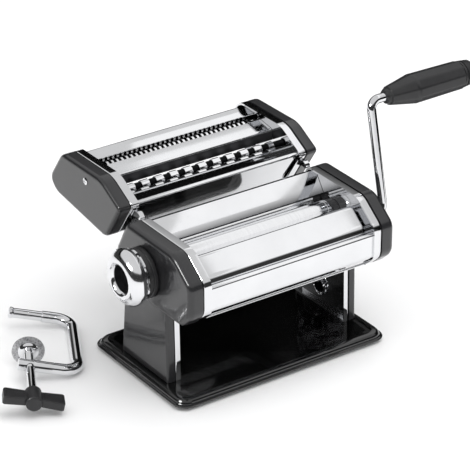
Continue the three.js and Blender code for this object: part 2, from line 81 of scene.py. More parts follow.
# Side outlines, as [y, z, corner cut]
BODY_OUTLINE = [
    (12, 131, 4), (-53.5, 130.5, 5), (-77.5, 112.5, 5), (-77.5, 86, 5),
    (-64, 73.5, 5), (22, 73.5, 4), (28, 84, 4), (28, 103, 5),
]
LEG_OUTLINE = [(-35, 90, 0), (-37, 9.1, 0), (30, 9.1, 0), (22, 90, 0)]
CUTTER_OUTLINE = [
    (109, 152, 6), (49.5, 152.5, 6), (21.5, 137.4, 4),
    (44, 103, 6), (119, 113.5, 5), (129, 124, 7),
]
FRAME_OUT = extent("right_side_frame")[1].x
FLANGE_IN = extent("right_side_frame")[0].x
COVER_IN = extent("right_side_cover")[0].x
COVER_OUT = extent("right_side_cover")[1].x
CUTTER_COVER_OUT = extent("right_cutter_cover")[1].x
FRAME_WALL = 1.5
COVER_WALL = 2.5
PLATE_IN = FRAME_OUT - FRAME_WALL
LEG_COVER_OUT = 91.5
COVER_GAP = 0.5
SPAN = extent("rear_hopper_plate")[1].x
ROLL_HALF = 75.0
CLAMP_HOLE = axis_of("clamp_socket")
CLAMP_HOLE_R = 5.8
SMOOTH_UNDER = math.radians(35)
LIP_HEIGHT = (138.6, 139.8)
# Near black painted into the grooves and hollows of chrome parts: painted shade and painted dark
# reflection, not a colour of the metal.
PAINTED_GROOVE_SHADE = (0.012, 0.012, 0.013, 1)


# ---------- sizes and colours a user may change ----------
class PastaSizes(bpy.types.PropertyGroup):
    """Sizes of the visible pieces, in millimetres unless a unit says otherwise"""

    sheet: bpy.props.FloatProperty(
        name="Sheet", description="Thickness of the folded panels, mm", default=1.2, min=0.4, max=3)
    cover_rim: bpy.props.FloatProperty(
        name="Cover rim", description="Rounding round the face of a side cover, mm",
        default=4.5, min=1, max=6)
    leg_rim: bpy.props.FloatProperty(
        name="Leg rim", description="Rounding along the edge of a leg's cover, mm",
        default=2.4, min=0.5, max=4)
    fold: bpy.props.FloatProperty(
        name="Fold", description="Outer radius of the folds in the side frames, mm",
        default=1.1, min=0.2, max=1.4)
    fine_rings: bpy.props.IntProperty(
        name="Fine rings", description="Rings on each fine cutting roller", default=33, min=4, max=60)
    wide_rings: bpy.props.IntProperty(
        name="Wide rings", description="Rings on each wide cutting roller", default=11, min=3, max=30)
    grip_sides: bpy.props.IntProperty(
        name="Grip sides", description="Flats round the crank's grip", default=10, min=6, max=16)
    screw_pitch: bpy.props.FloatProperty(
        name="Screw pitch", description="Distance between the clamp screw's threads, mm",
        default=1.5, min=0.8, max=3)


class PastaColours(bpy.types.PropertyGroup):
    """Base colours of the finishes"""

    chrome: bpy.props.FloatVectorProperty(
        name="Chrome", description="Polished chromed steel", subtype="COLOR", default=(0.80, 0.805, 0.82))
    steel: bpy.props.FloatVectorProperty(
        name="Steel", description="Plain steel inside", subtype="COLOR", default=(0.46, 0.47, 0.48))
    cover: bpy.props.FloatVectorProperty(
        name="Covers", description="Dark grey enamel", subtype="COLOR", default=(0.014, 0.014, 0.0155))
    base: bpy.props.FloatVectorProperty(
        name="Base", description="Black enamel", subtype="COLOR", default=(0.0022, 0.0022, 0.0025))
    plastic: bpy.props.FloatVectorProperty(
        name="Plastic", description="Moulded grip and knob", subtype="COLOR", default=(0.016, 0.016, 0.017))
    rubber: bpy.props.FloatVectorProperty(
        name="Rubber", description="Feet", subtype="COLOR", default=(0.010, 0.010, 0.010))


def sizes():
    return bpy.context.scene.pasta_sizes


def colours():
    return bpy.context.scene.pasta_colours


# ---------- shader expressions ----------
class Value:
    """A shader socket that takes part in Python arithmetic."""

    def __init__(self, nodes, socket):
        self.nodes, self.socket = nodes, socket

    def _math(self, operation, *values):
        return self.nodes.node("ShaderNodeMath", {"operation": operation}, dict(enumerate(values)))

    def __add__(self, other):
        return self._math("ADD", self, other)

    def __mul__(self, other):
        return self._math("MULTIPLY", self, other)

    def __sub__(self, other):
        return self._math("SUBTRACT", self, other)

    def __rsub__(self, other):
        return self._math("SUBTRACT", other, self)

    def __pow__(self, other):
        return self._math("POWER", self, other)

    __radd__, __rmul__ = __add__, __mul__

    def stretch(self, low, high):
        """0 below low, 1 above high, even between."""
        return self.nodes.node("ShaderNodeMapRange", {"clamp": True},
                               {"Value": self, "From Min": low, "From Max": high})


class Nodes:
    """A node tree under construction."""

    def __init__(self, tree):
        self.tree = tree

    def set(self, socket, value):
        if isinstance(value, Value):
            self.tree.links.new(value.socket, socket)
        else:
            socket.default_value = value

    def node(self, kind, settings=None, inputs=None, output=0):
        made = self.tree.nodes.new(kind)
        for name, value in (settings or {}).items():
            setattr(made, name, value)
        for name, value in (inputs or {}).items():
            self.set(made.inputs[name], value)
        return Value(self, made.outputs[output])

    def split(self, vector):
        """The x, y and z of a vector."""
        made = self.node("ShaderNodeSeparateXYZ", None, {"Vector": vector}).socket.node
        return [Value(self, socket) for socket in made.outputs]


class Surface(Nodes):
    """A procedural material under construction."""

    def __init__(self, name, **inputs):
        self.material = bpy.data.materials.new(name)
        self.material.use_nodes = True
        super().__init__(self.material.node_tree)
        self.shader = self.tree.nodes["Principled BSDF"]
        self.at = self.node("ShaderNodeTexCoord", output="Object")
        self.finish(**inputs)

    def noise(self, scale, detail=2.0, stretch=(1, 1, 1)):
        """Noise over the object, scale in cells a metre, stretched by axis."""
        place = self.node("ShaderNodeMapping", None, {"Vector": self.at, "Scale": stretch})
        return self.node("ShaderNodeTexNoise", None, {"Vector": place, "Scale": scale, "Detail": detail})

    def mix(self, factor, one, two):
        return self.node("ShaderNodeMix", {"data_type": "RGBA"}, {0: factor, 6: one, 7: two}, 2)

    def bump(self, height, strength, distance=0.0002):
        normal = self.node("ShaderNodeBump", None,
                           {"Height": height, "Strength": strength, "Distance": distance})
        self.set(self.shader.inputs["Normal"], normal)

    def finish(self, **inputs):
        for socket, value in inputs.items():
            self.set(self.shader.inputs[socket.replace("_", " ")], value)
        return self.material


FINISHES = {}


def shade(colour, factor=1.0):
    return (*(c * factor for c in colour), 1.0)


def polished_chrome():
    s = Surface("polished_chrome", Metallic=1.0)
    haze = s.noise(38, 3)
    wipe = s.noise(260, 2, (1, 0.06, 1))
    s.bump(s.noise(21, 1), 0.05, 0.0004)
    return s.finish(
        Base_Color=s.mix(haze.stretch(0.35, 0.75), shade(colours().chrome), shade(colours().chrome, 0.94)),
        Roughness=0.035 + haze * 0.03 + wipe.stretch(0.5, 0.8) * 0.025)


def roller_chrome():
    s = Surface("roller_chrome", Metallic=1.0)
    rings = s.noise(900, 2, (1, 0.01, 0.01))
    s.bump(rings, 0.12, 0.00004)
    return s.finish(
        Base_Color=s.mix(rings.stretch(0.3, 0.7), shade(colours().chrome, 0.93), shade(colours().chrome)),
        Roughness=0.09 + rings * 0.06)


def brushed_plate():
    s = Surface("brushed_plate", Metallic=1.0)
    grain = s.noise(700, 3, (1, 0.03, 0.03))
    clouds = s.noise(45, 3)
    s.bump(grain, 0.2, 0.00006)
    return s.finish(
        Base_Color=s.mix(clouds.stretch(0.3, 0.75), shade(colours().steel, 0.8),
                         shade(colours().steel, 1.15)),
        Roughness=0.2 + grain * 0.16)


def plain_steel():
    s = Surface("plain_steel", Metallic=1.0)
    grain = s.noise(420, 4)
    s.bump(grain, 0.25, 0.00008)
    return s.finish(
        Base_Color=s.mix(grain.stretch(0.3, 0.7), shade(colours().steel, 0.75),
                         shade(colours().steel, 1.1)),
        Roughness=0.26 + grain * 0.2)


def zinc_pad():
    s = Surface("mottled_zinc", Metallic=1.0)
    spangle = s.node("ShaderNodeTexVoronoi", {"feature": "F1"}, {"Vector": s.at, "Scale": 620.0},
                     "Distance")
    cloud = s.noise(300, 4)
    s.bump(cloud, 0.5, 0.00025)
    return s.finish(
        Base_Color=s.mix((spangle + cloud).stretch(0.5, 1.3), (0.22, 0.22, 0.23, 1), (0.62, 0.62, 0.63, 1)),
        Roughness=0.3 + cloud * 0.25)


def ring_chrome(name, centre, radius):
    """Polished ring tops, with the grooves and hollows below them painted near black as painted shade and
    painted dark reflection; centre and radius in millimetres.
    """
    s = Surface(name, Metallic=1.0)
    _, y, z = s.split(s.at)
    across = y - (ZERO.y + centre[0] * MM)
    above = z - (ZERO.z + centre[1] * MM)
    out = (across * across + above * above) ** 0.5
    top = out.stretch((radius - 0.5) * MM, (radius - 0.2) * MM)
    haze = s.noise(200, 2)
    return s.finish(
        Base_Color=s.mix(top, PAINTED_GROOVE_SHADE, shade(colours().chrome)),
        Roughness=0.5 - top * 0.42 + haze * 0.05)


def lip_chrome():
    """Chrome on the flat of the middle plate, dull down its front lip, where dark grey is painted on as
    shade.
    """
    s = Surface("lip_chrome", Metallic=1.0)
    height = s.split(s.at)[2]
    flat = height.stretch(*(h * MM for h in LIP_HEIGHT))
    grain = s.noise(500, 3, (1, 0.05, 0.05))
    # Below LIP_HEIGHT the colour fades to dark grey: painted shade on the chrome lip.
    return s.finish(
        Base_Color=s.mix(flat, (0.10, 0.10, 0.105, 1), shade(colours().chrome)),
        Roughness=0.42 - flat * 0.34 + grain * 0.05)


def cover_enamel():
    s = Surface("cover_enamel", Coat_Roughness=0.07, Specular_IOR_Level=0.36)
    peel = s.noise(330, 2)
    flake = s.noise(2600, 2)
    dust = s.noise(24, 3)
    s.bump(peel, 0.1, 0.0001)
    return s.finish(
        Base_Color=s.mix(flake.stretch(0.4, 0.8), shade(colours().cover), shade(colours().cover, 1.35)),
        Roughness=0.3 + dust * 0.1, Coat_Weight=0.6 + dust * 0.1)


def base_enamel():
    s = Surface("base_enamel", Coat_Roughness=0.03)
    peel = s.noise(120, 2)
    dust = s.noise(30, 4)
    s.bump(peel, 0.035, 0.0002)
    return s.finish(
        Base_Color=s.mix(dust.stretch(0.45, 0.8), shade(colours().base), shade(colours().base, 2.0)),
        Roughness=0.12 + dust * 0.1, Coat_Weight=0.7 + dust * 0.2)


def moulded_plastic():
    s = Surface("moulded_plastic", Specular_IOR_Level=0.45)
    grain = s.noise(1500, 3)
    wear = s.noise(60, 3)
    s.bump(grain, 0.22, 0.00008)
    return s.finish(
        Base_Color=s.mix(wear.stretch(0.35, 0.75), shade(colours().plastic), shade(colours().plastic, 1.5)),
        Roughness=0.3 + wear * 0.16)


def foot_rubber():
    s = Surface("foot_rubber")
    grain = s.noise(900, 3)
    s.bump(grain, 0.3, 0.0001)
    return s.finish(
        Base_Color=s.mix(grain, shade(colours().rubber), shade(colours().rubber, 1.6)),
        Roughness=0.7 + grain * 0.2)


def finish_of(name):
    """The material of that name, made once."""
    if name not in FINISHES:
        FINISHES[name] = {
            "chrome": polished_chrome, "roller": roller_chrome, "plate": brushed_plate,
            "steel": plain_steel, "lip": lip_chrome, "zinc": zinc_pad, "cover": cover_enamel,
            "base": base_enamel, "plastic": moulded_plastic, "rubber": foot_rubber,
        }[name]()
    return FINISHES[name]


# ---------- mesh helpers ----------
def bevel(bm, edges, offset, steps):
    if edges:
        bmesh.ops.bevel(bm, geom=edges, offset=offset, offset_type="OFFSET", segments=steps,
                        profile=0.5, affect="EDGES", material=-1, clamp_overlap=True)


def soften(bm, offset, steps=2, over=40):
    """Rounds every edge whose faces turn by more than that many degrees."""
    limit = math.radians(over)
    turning = [e for e in bm.edges if len(e.link_faces) == 2 and e.calc_face_angle(0) > limit]
    bevel(bm, turning, offset, steps)


def moved_verts(made):
    return [g for g in made["geom"] if isinstance(g, bmesh.types.BMVert)]


def prism(corners, x0, x1, inward=0.0, rim=0.0, rim_steps=5, corner_steps=6):
    """A side outline carried along X from x0 to x1, its corners rounded, and its far rim too."""
    bm = bmesh.new()
    face = bm.faces.new([bm.verts.new((x0, y, z)) for y, z, _ in corners])
    if inward:
        bm.normal_update()
        ring = bmesh.ops.inset_region(bm, faces=[face], thickness=inward, use_boundary=True,
                                      use_even_offset=True)["faces"]
        bmesh.ops.delete(bm, geom=ring, context="FACES")
    start = [(v, max(0.5, cut - inward / 2)) for v, (_, _, cut) in zip(face.verts, corners) if cut]
    made = bmesh.ops.extrude_face_region(bm, geom=[face])
    bmesh.ops.translate(bm, verts=moved_verts(made), vec=(x1 - x0, 0, 0))
    by_cut = {}
    for v, cut in start:
        along = [e for e in v.link_edges if abs(e.verts[0].co.x - e.verts[1].co.x) > 1e-6]
        by_cut.setdefault(cut, []).extend(along)
    for cut, edges in sorted(by_cut.items()):
        bevel(bm, edges, cut, corner_steps)
    if rim:
        # A leg has no rounded corners, and only its upright edges take the rim.
        upright = 40
        far = [e for e in bm.edges if all(abs(v.co.x - x1) < 1e-4 for v in e.verts)
               and (start or abs(e.verts[0].co.z - e.verts[1].co.z) > upright)]
        bevel(bm, far, rim, rim_steps)
    bmesh.ops.recalc_face_normals(bm, faces=bm.faces)
    return bm


def turned(profile, centre, steps=64, axis="X"):
    """A profile of [along, radius] spun once about a line along X, or along Y in the clamp's frame."""
    bm = bmesh.new()
    cy, cz = centre
    verts = [bm.verts.new((x, cy, cz + r) if axis == "X" else (cy, x, cz + r)) for x, r in profile]
    edges = [bm.edges.new(pair) for pair in zip(verts, verts[1:])]
    if axis == "X":
        cent, line = (0, cy, cz), (1, 0, 0)
    else:
        cent, line = (cy, 0, cz), (0, 1, 0)
    bmesh.ops.spin(bm, geom=verts + edges, cent=cent, axis=line, angle=2 * math.pi,
                   steps=steps, use_merge=True)
    bmesh.ops.remove_doubles(bm, verts=bm.verts, dist=1e-4)
    bmesh.ops.dissolve_degenerate(bm, dist=1e-5, edges=bm.edges)
    bmesh.ops.recalc_face_normals(bm, faces=bm.faces)
    return bm


def rod(x0, x1, r, centre, steps=48, axis="X"):
    return turned([(x0, 0), (x0, r), (x1, r), (x1, 0)], centre, steps, axis)


def temporary(bm):
    mesh = bpy.data.meshes.new("shape")
    bm.to_mesh(mesh)
    obj = bpy.data.objects.new("shape", mesh)
    bpy.context.scene.collection.objects.link(obj)
    return obj


def combine(whole, *tools, operation="DIFFERENCE"):
    """Joins or cuts closed shapes; the shapes given are used up."""
    body = temporary(whole)
    parts = [temporary(t) for t in tools]
    for part in parts:
        cut = body.modifiers.new("combine", "BOOLEAN")
        cut.operation, cut.solver, cut.object = operation, "EXACT", part
    done = body.evaluated_get(bpy.context.evaluated_depsgraph_get()).to_mesh()
    result = bmesh.new()
    result.from_mesh(done)
    for obj in [body, *parts]:
        mesh = obj.data
        bpy.data.objects.remove(obj)
        bpy.data.meshes.remove(mesh)
    for bm in (whole, *tools):
        bm.free()
    bmesh.ops.remove_doubles(result, verts=result.verts, dist=1e-3)
    return result


def gathered(*shapes):
    """Several separate shapes in one mesh."""
    first = shapes[0]
    for other in shapes[1:]:
        mesh = bpy.data.meshes.new("shape")
        other.to_mesh(mesh)
        first.from_mesh(mesh)
        bpy.data.meshes.remove(mesh)
        other.free()
    return first


def folded(path, half, steps=5):
    """A sheet along X whose side view is the path of [y, z, fold radius]."""
    bm = bmesh.new()
    verts = [bm.verts.new((-half, y, z)) for y, z, _ in path]
    edges = [bm.edges.new(pair) for pair in zip(verts, verts[1:])]
    made = bmesh.ops.extrude_edge_only(bm, edges=edges)
    bmesh.ops.translate(bm, verts=moved_verts(made), vec=(2 * half, 0, 0))
    folds = {}
    for v, (_, _, radius) in zip(verts, path):
        if radius:
            along = [e for e in v.link_edges if abs(e.verts[0].co.x - e.verts[1].co.x) > 1e-6]
            folds.setdefault(radius, []).extend(along)
    for radius, edges in folds.items():
        bevel(bm, edges, radius, steps)
    return bm


def curl(centre, radius, start, end, steps=6):
    """Points round a rolled edge, in degrees from +Y towards +Z."""
    cy, cz = centre
    turn = [math.radians(start + (end - start) * i / steps) for i in range(steps + 1)]
    return [(cy + radius * math.cos(a), cz + radius * math.sin(a), 0) for a in turn]


def swept(start, heading, radius, legs, sides=24):
    """A round bar: a circle carried along straight runs ("run", length) and spun through
    bends ("bend", radius, degrees, axis), and closed at both ends."""
    bm = bmesh.new()
    turn = Vector((0, 0, 1)).rotation_difference(Vector(heading)).to_matrix().to_4x4()
    ring = bmesh.ops.create_circle(bm, segments=sides, radius=radius,
                                   matrix=Matrix.Translation(start) @ turn)["verts"]
    edges = list({e for v in ring for e in v.link_edges})
    at, way = Vector(start), Vector(heading).normalized()
    for kind, *how in legs:
        if kind == "run":
            made = bmesh.ops.extrude_edge_only(bm, edges=edges)
            bmesh.ops.translate(bm, verts=moved_verts(made), vec=way * how[0])
            edges = [g for g in made["geom"] if isinstance(g, bmesh.types.BMEdge)
                     and all(abs((v.co - at - way * how[0]).dot(way)) < 1e-3 for v in g.verts)]
            at = at + way * how[0]
        else:
            bend, angle, axis = how[0], math.radians(how[1]), Vector(how[2])
            centre = at + axis.cross(way).normalized() * math.copysign(bend, angle)
            made = bmesh.ops.spin(bm, geom=edges, cent=centre, axis=axis, angle=angle,
                                  steps=max(4, int(abs(how[1]) / 7)), use_merge=False)
            edges = [g for g in made["geom_last"] if isinstance(g, bmesh.types.BMEdge)]
            turned_by = Matrix.Rotation(angle, 3, axis)
            at = centre + turned_by @ (at - centre)
            way = turned_by @ way
    bmesh.ops.holes_fill(bm, edges=[e for e in bm.edges if e.is_boundary], sides=0)
    bmesh.ops.remove_doubles(bm, verts=bm.verts, dist=1e-4)
    bmesh.ops.recalc_face_normals(bm, faces=bm.faces)
    return bm


def mirrored(bm):
    """The same shape for the left side."""
    copy = bm.copy()
    bmesh.ops.scale(copy, vec=(-1, 1, 1), verts=copy.verts)
    bmesh.ops.reverse_faces(copy, faces=copy.faces)
    return copy


def place(name, bm, finish, body, stands_for=(), to_row=TO_ROW, sheet=0.0):
    """Makes the object, gives it its finish, and lets it ride on its CAD body."""
    bmesh.ops.transform(bm, matrix=to_row, verts=bm.verts)
    mesh = bpy.data.meshes.new(name)
    bm.to_mesh(mesh)
    bm.free()
    mesh.shade_smooth()
    mesh.set_sharp_from_angle(angle=SMOOTH_UNDER)
    obj = bpy.data.objects.new(name, mesh)
    bpy.context.scene.collection.objects.link(obj)
    mesh.materials.append(finish_of(finish))
    if sheet:
        solid = obj.modifiers.new("thickness", "SOLIDIFY")
        solid.thickness, solid.offset, solid.use_even_offset = sheet * MM, 0, True
    obj.modifiers.new("normals", "WEIGHTED_NORMAL").keep_sharp = True
    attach(obj, body)
    if stands_for:
        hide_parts(*stands_for)
    return obj


def dress(finish, *nodes):
    """Gives CAD nodes that stay as they are their finish."""
    for node in nodes:
        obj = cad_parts[node]
        obj.data.materials.clear()
        obj.data.materials.append(finish_of(finish))


class Maker(bpy.types.Operator):
    """What the operators have in common"""

    bl_options = {"REGISTER", "UNDO"}


# ---------- base ----------
class PASTA_OT_base(Maker):
    """The pressed base with its bead, and the rubber feet"""

    bl_idname = "pasta.base"
    bl_label = "Base and feet"

    def execute(self, context):
        low, high = extent("base_plate")
        bm = bmesh.new()
        corner, lip = 11, 0.9
        face = bm.faces.new([bm.verts.new((x, y, low.z)) for x, y in (
            (low.x + lip, low.y + lip), (high.x - lip, low.y + lip),
            (high.x - lip, high.y - lip), (low.x + lip, high.y - lip))])
        bmesh.ops.bevel(bm, geom=list(face.verts), offset=corner, offset_type="OFFSET", segments=10,
                        profile=0.5, affect="VERTICES", material=-1)
        top = max(bm.faces, key=lambda f: f.calc_area())
        bm.normal_update()
        if top.normal.z < 0:
            bmesh.ops.reverse_faces(bm, faces=[top])
        # [inset, rise] steps: rolled lip, neck, shoulder, rounded edge, flat top
        height = high.z - low.z
        steps = [(-0.5, 0.25), (-0.4, 0.55), (0.0, 0.6), (0.45, 0.55), (0.75, 0.3), (0.5, 0.1),
                 (0.25, 0.45), (0.3, 1.1), (0.55, 1.0), (0.9, 0.75), (1.3, 0.45), (1.8, 0.2)]
        rest = height - sum(rise for _, rise in steps)
        centre = Vector(((low.x + high.x) / 2, (low.y + high.y) / 2, 0))
        for inset, rise in steps + [(3.0, rest)]:
            made = bmesh.ops.extrude_face_region(bm, geom=[top])
            top = next(g for g in made["geom"] if isinstance(g, bmesh.types.BMFace))
            bmesh.ops.translate(bm, verts=moved_verts(made), vec=(0, 0, rise))
            half_x = max(v.co.x for v in top.verts) - centre.x
            half_y = max(v.co.y for v in top.verts) - centre.y
            bmesh.ops.scale(bm, vec=((half_x - inset) / half_x, (half_y - inset) / half_y, 1),
                            space=Matrix.Translation(-centre), verts=moved_verts(made))
        bmesh.ops.recalc_face_normals(bm, faces=bm.faces)
        place("base_plate_pressed", bm, "base", "body", ["base_plate"])
        dress("rubber", "left_front_foot", "right_front_foot", "left_rear_foot", "right_rear_foot")
        return {"FINISHED"}


# ---------- side frames and covers ----------
def tray(cases, wall):
    """Open boxes of one sheet: [outline, open x, closed x, fold radius] each."""
    outer = [prism(o, x0 + i * 0.05, x1, rim=fold, rim_steps=4)
             for i, (o, x0, x1, fold) in enumerate(cases)]
    inner = [prism(o, x0 - 1 - i, x1 - wall, inward=wall)
             for i, (o, x0, x1, _) in enumerate(cases)]
    whole = outer[0] if len(outer) == 1 else combine(*outer, operation="UNION")
    return combine(whole, *inner)


class PASTA_OT_side_frames(Maker):
    """The chromed side frames of the body and of the cutter attachment"""

    bl_idname = "pasta.side_frames"
    bl_label = "Side frames"

    def execute(self, context):
        fold, leg_step = sizes().fold, 2.5
        shell = tray([(BODY_OUTLINE, FLANGE_IN, FRAME_OUT, fold),
                      (LEG_OUTLINE, FLANGE_IN + leg_step, FRAME_OUT, fold)], FRAME_WALL)
        left = mirrored(shell)
        right = combine(shell, rod(PLATE_IN - 2, FRAME_OUT + 2, CLAMP_HOLE_R, CLAMP_HOLE))
        place("right_side_frame_folded", right, "chrome", "body", ["right_side_frame"])
        place("left_side_frame_folded", left, "chrome", "body", ["left_side_frame"])
        cutter = tray([(CUTTER_OUTLINE, FLANGE_IN, FRAME_OUT, fold)], FRAME_WALL)
        place("left_cutter_frame_folded", mirrored(cutter), "chrome", "cutter", ["left_cutter_frame"])
        place("right_cutter_frame_folded", cutter, "chrome", "cutter", ["right_cutter_frame"])
        return {"FINISHED"}


class PASTA_OT_covers(Maker):
    """The enamelled covers over the gears and legs"""

    bl_idname = "pasta.covers"
    bl_label = "Side covers"

    def execute(self, context):
        rim, inner = sizes().cover_rim, COVER_IN + COVER_GAP
        shell = tray([(BODY_OUTLINE, inner, COVER_OUT, rim),
                      (LEG_OUTLINE, inner, LEG_COVER_OUT, sizes().leg_rim)], COVER_WALL)
        left = mirrored(combine(shell.copy(), rod(88, 99, 7, axis_of("dial_skirt"))))
        right = combine(shell, rod(88, 99, 4, axis_of("drive_shaft_bush")))
        place("right_side_cover_shell", right, "cover", "body", ["right_side_cover"])
        place("left_side_cover_shell", left, "cover", "body", ["left_side_cover"])
        cutter = tray([(CUTTER_OUTLINE, inner, CUTTER_COVER_OUT, rim - 0.9)], COVER_WALL)
        screw_hole = rod(90, 97, 2, axis_of("left_cutter_cover_screw"))
        left = mirrored(combine(cutter.copy(), screw_hole))
        place("left_cutter_cover_shell", left, "cover", "cutter", ["left_cutter_cover"])
        place("right_cutter_cover_shell", cutter, "cover", "cutter", ["right_cutter_cover"])
        return {"FINISHED"}


# ---------- panels ----------
class PASTA_OT_panels(Maker):
    """The folded panels between the side frames"""

    bl_idname = "pasta.panels"
    bl_label = "Panels"

    def execute(self, context):
        sheet = sizes().sheet
        lower_front = curl((-73.2, 105), 1.9, 10, 170) + [
            (-75.4, 104.9, 0), (-75.4, 86.9, 2.4), (-63.2, 75.6, 2.4), (-51.5, 75.6, 0)]
        front = [(-30.2, 112.2, 0), (-50.2, 121.6, 1.1), (-52.4, 121.7, 1.1), (-68.7, 109.2, 4.8),
                 (-69.4, 103, 0)]
        hopper = [(9.2, 127.6, 0), (-2.2, 111.8, 0)]
        rear = [(16, 75.6, 0), (20.8, 75.6, 2), (25.9, 84.6, 2), (25.9, 102.1, 2), (13.0, 126.0, 0)]
        for name, node, path, thick in (
                ("rear_hopper_sheet", "rear_hopper_plate", hopper, sheet),
                ("front_sloped_sheet", "front_sloped_panel", front, sheet),
                ("front_lower_sheet", "front_lower_panel", lower_front, 1.0),
                ("rear_sheet", "rear_panel", rear, sheet)):
            place(name, folded(path, SPAN), "chrome", "body", [node], sheet=thick)
        place("front_lower_hem", rod(-SPAN, SPAN, 0.8, (-64.6, 75.9), 16), "chrome", "body")
        low, high = extent("cutter_rear_plate")
        back = [(95.5, 144.5, 0), (110.4, 145.6, 1.2), (high.y - 0.5, low.z + 0.3, 0)]
        middle = [(85.4, 142.6, 0), (70.1, 140.4, 1.2), (68.8, 131.4, 0)]
        front_path = [(44.5, 135, 0), (29.6, 136.8, 1)] + curl((27.5, 135.3), 1.9, 60, 170) + [
            (46.2, 105.7, 3), (57.6, 107.4, 0)]
        for name, node, path, finish in (
                ("cutter_rear_sheet", "cutter_rear_plate", back, "chrome"),
                ("cutter_middle_sheet", "cutter_middle_plate", middle, "lip"),
                ("cutter_front_sheet", "cutter_front_plate", front_path, "chrome")):
            place(name, folded(path, SPAN), finish, "cutter", [node], sheet=sheet)
        dress("plate", "cutter_lower_plate")
        return {"FINISHED"}


# ---------- rollers ----------
class PASTA_OT_rollers(Maker):
    """The smooth rollers, with their necks and ground ends"""

    bl_idname = "pasta.rollers"
    bl_label = "Smooth rollers"

    def execute(self, context):
        for node, body in (("front_roller", "front_roller"), ("rear_roller", "rear_roller")):
            low, high = extent(node)
            r, half, neck = (high.z - low.z) / 2, ROLL_HALF, 4.7
            bm = turned([
                (low.x, 0), (low.x, neck - 0.4), (low.x + 0.4, neck), (-half, neck), (-half, r - 0.7),
                (-half + 0.7, r), (-half + 3.2, r), (-half + 3.4, r - 0.15), (-half + 3.6, r),
                (half - 3.6, r), (half - 3.4, r - 0.15), (half - 3.2, r), (half - 0.7, r), (half, r - 0.7),
                (half, neck), (high.x - 0.4, neck), (high.x, neck - 0.4), (high.x, 0),
            ], axis_of(node), 96)
            place(node + "_ground", bm, "roller", body, [node])
        dress("steel", "front_roller_gear", "rear_roller_gear", "drive_gear", "front_tie_rod",
              "rear_tie_rod", "front_scraper", "rear_scraper")
        dress("plastic", "left_rear_roller_bush", "right_rear_roller_bush",
              "left_front_roller_bush", "right_front_roller_bush")
        return {"FINISHED"}


class PASTA_OT_bushes(Maker):
    """The dished bush of the drive shaft, and the ring that takes the clamp"""

    bl_idname = "pasta.bushes"
    bl_label = "Bushes"

    def execute(self, context):
        low, high = extent("drive_shaft_bush")
        r = (high.z - low.z) / 2
        bm = turned([
            (high.x, 5.5), (high.x, r - 0.5), (high.x - 0.5, r), (high.x - 1.4, r), (high.x - 2.2, r - 0.5),
            (low.x + 0.5, 8.6), (low.x, 7.8), (low.x, 6.6), (low.x + 0.8, 5.6), (high.x, 5.5),
        ], axis_of("drive_shaft_bush"), 72)
        place("drive_shaft_bush_dished", bm, "chrome", "body", ["drive_shaft_bush"])
        low, high = extent("clamp_socket")
        r = (high.z - low.z) / 2
        bm = turned([
            (high.x, 5.9), (high.x, r - 0.3), (high.x - 0.4, r), (high.x - 1.2, r - 0.2),
            (low.x + 0.5, r - 1.2), (low.x, r - 1.8), (low.x, 6.9), (low.x + 0.6, 6.2), (high.x, 5.9),
        ], CLAMP_HOLE, 64)
        place("clamp_socket_ring", bm, "chrome", "body", ["clamp_socket"])
        return {"FINISHED"}


# ---------- crank ----------
class PASTA_OT_crank(Maker):
    """The bent crank bar, its grip and the cap on the grip's end"""

    bl_idname = "pasta.crank"
    bl_label = "Crank"

    def execute(self, context):
        low, high = extent("crank_arm")
        drive, hand = axis_of("drive_shaft_bush"), axis_of("grip")
        # The long run of the bar stands in the plane at this X.
        r, bend, plane = 3.7, 7.5, 114.0
        rise = Vector((0, hand[0] - drive[0], hand[1] - drive[1]))
        up = rise.normalized()
        turn = Vector((1, 0, 0)).cross(up)
        bm = swept((low.x, *drive), (1, 0, 0), r, [
            ("run", plane - bend - low.x), ("bend", bend, 90, turn), ("run", rise.length - 2 * bend),
            ("bend", bend, -90, turn), ("run", high.x - plane - bend)], 32)
        soften(bm, 0.6, 2, 60)
        place("crank_bar", bm, "chrome", "crank", ["crank_arm"])
        low, high = extent("grip")
        bore = 4.0
        bm = turned([
            (low.x, bore), (low.x, 5.6), (low.x + 0.6, 6.2), (low.x + 2.6, 6.6), (low.x + 3.4, 8),
            (low.x + 25, 12.2), (low.x + 29, 12.55), (high.x - 0.8, 12.0), (high.x, 11.4),
            (high.x, bore), (low.x, bore)], hand, sizes().grip_sides)
        along = [e for e in bm.edges if abs(e.verts[0].co.x - e.verts[1].co.x) > 15
                 and e.calc_face_angle(0) > 0.3]
        bevel(bm, along, 1.1, 3)
        place("grip_faceted", bm, "plastic", "grip", ["grip"])
        low, high = extent("grip_end_cap")
        bm = turned([
            (low.x, 0), (low.x, 11.0), (low.x + 0.3, 11.2), (low.x + 1.6, 11.2), (low.x + 1.9, 10.3),
            (low.x + 2.8, 10.3), (low.x + 3.1, 11.0), (high.x - 2.6, 10.1), (high.x - 0.9, 8.9),
            (high.x, 7.2), (high.x, 0)], hand, 64)
        place("grip_cap", bm, "plastic", "grip", ["grip_end_cap"])
        return {"FINISHED"}


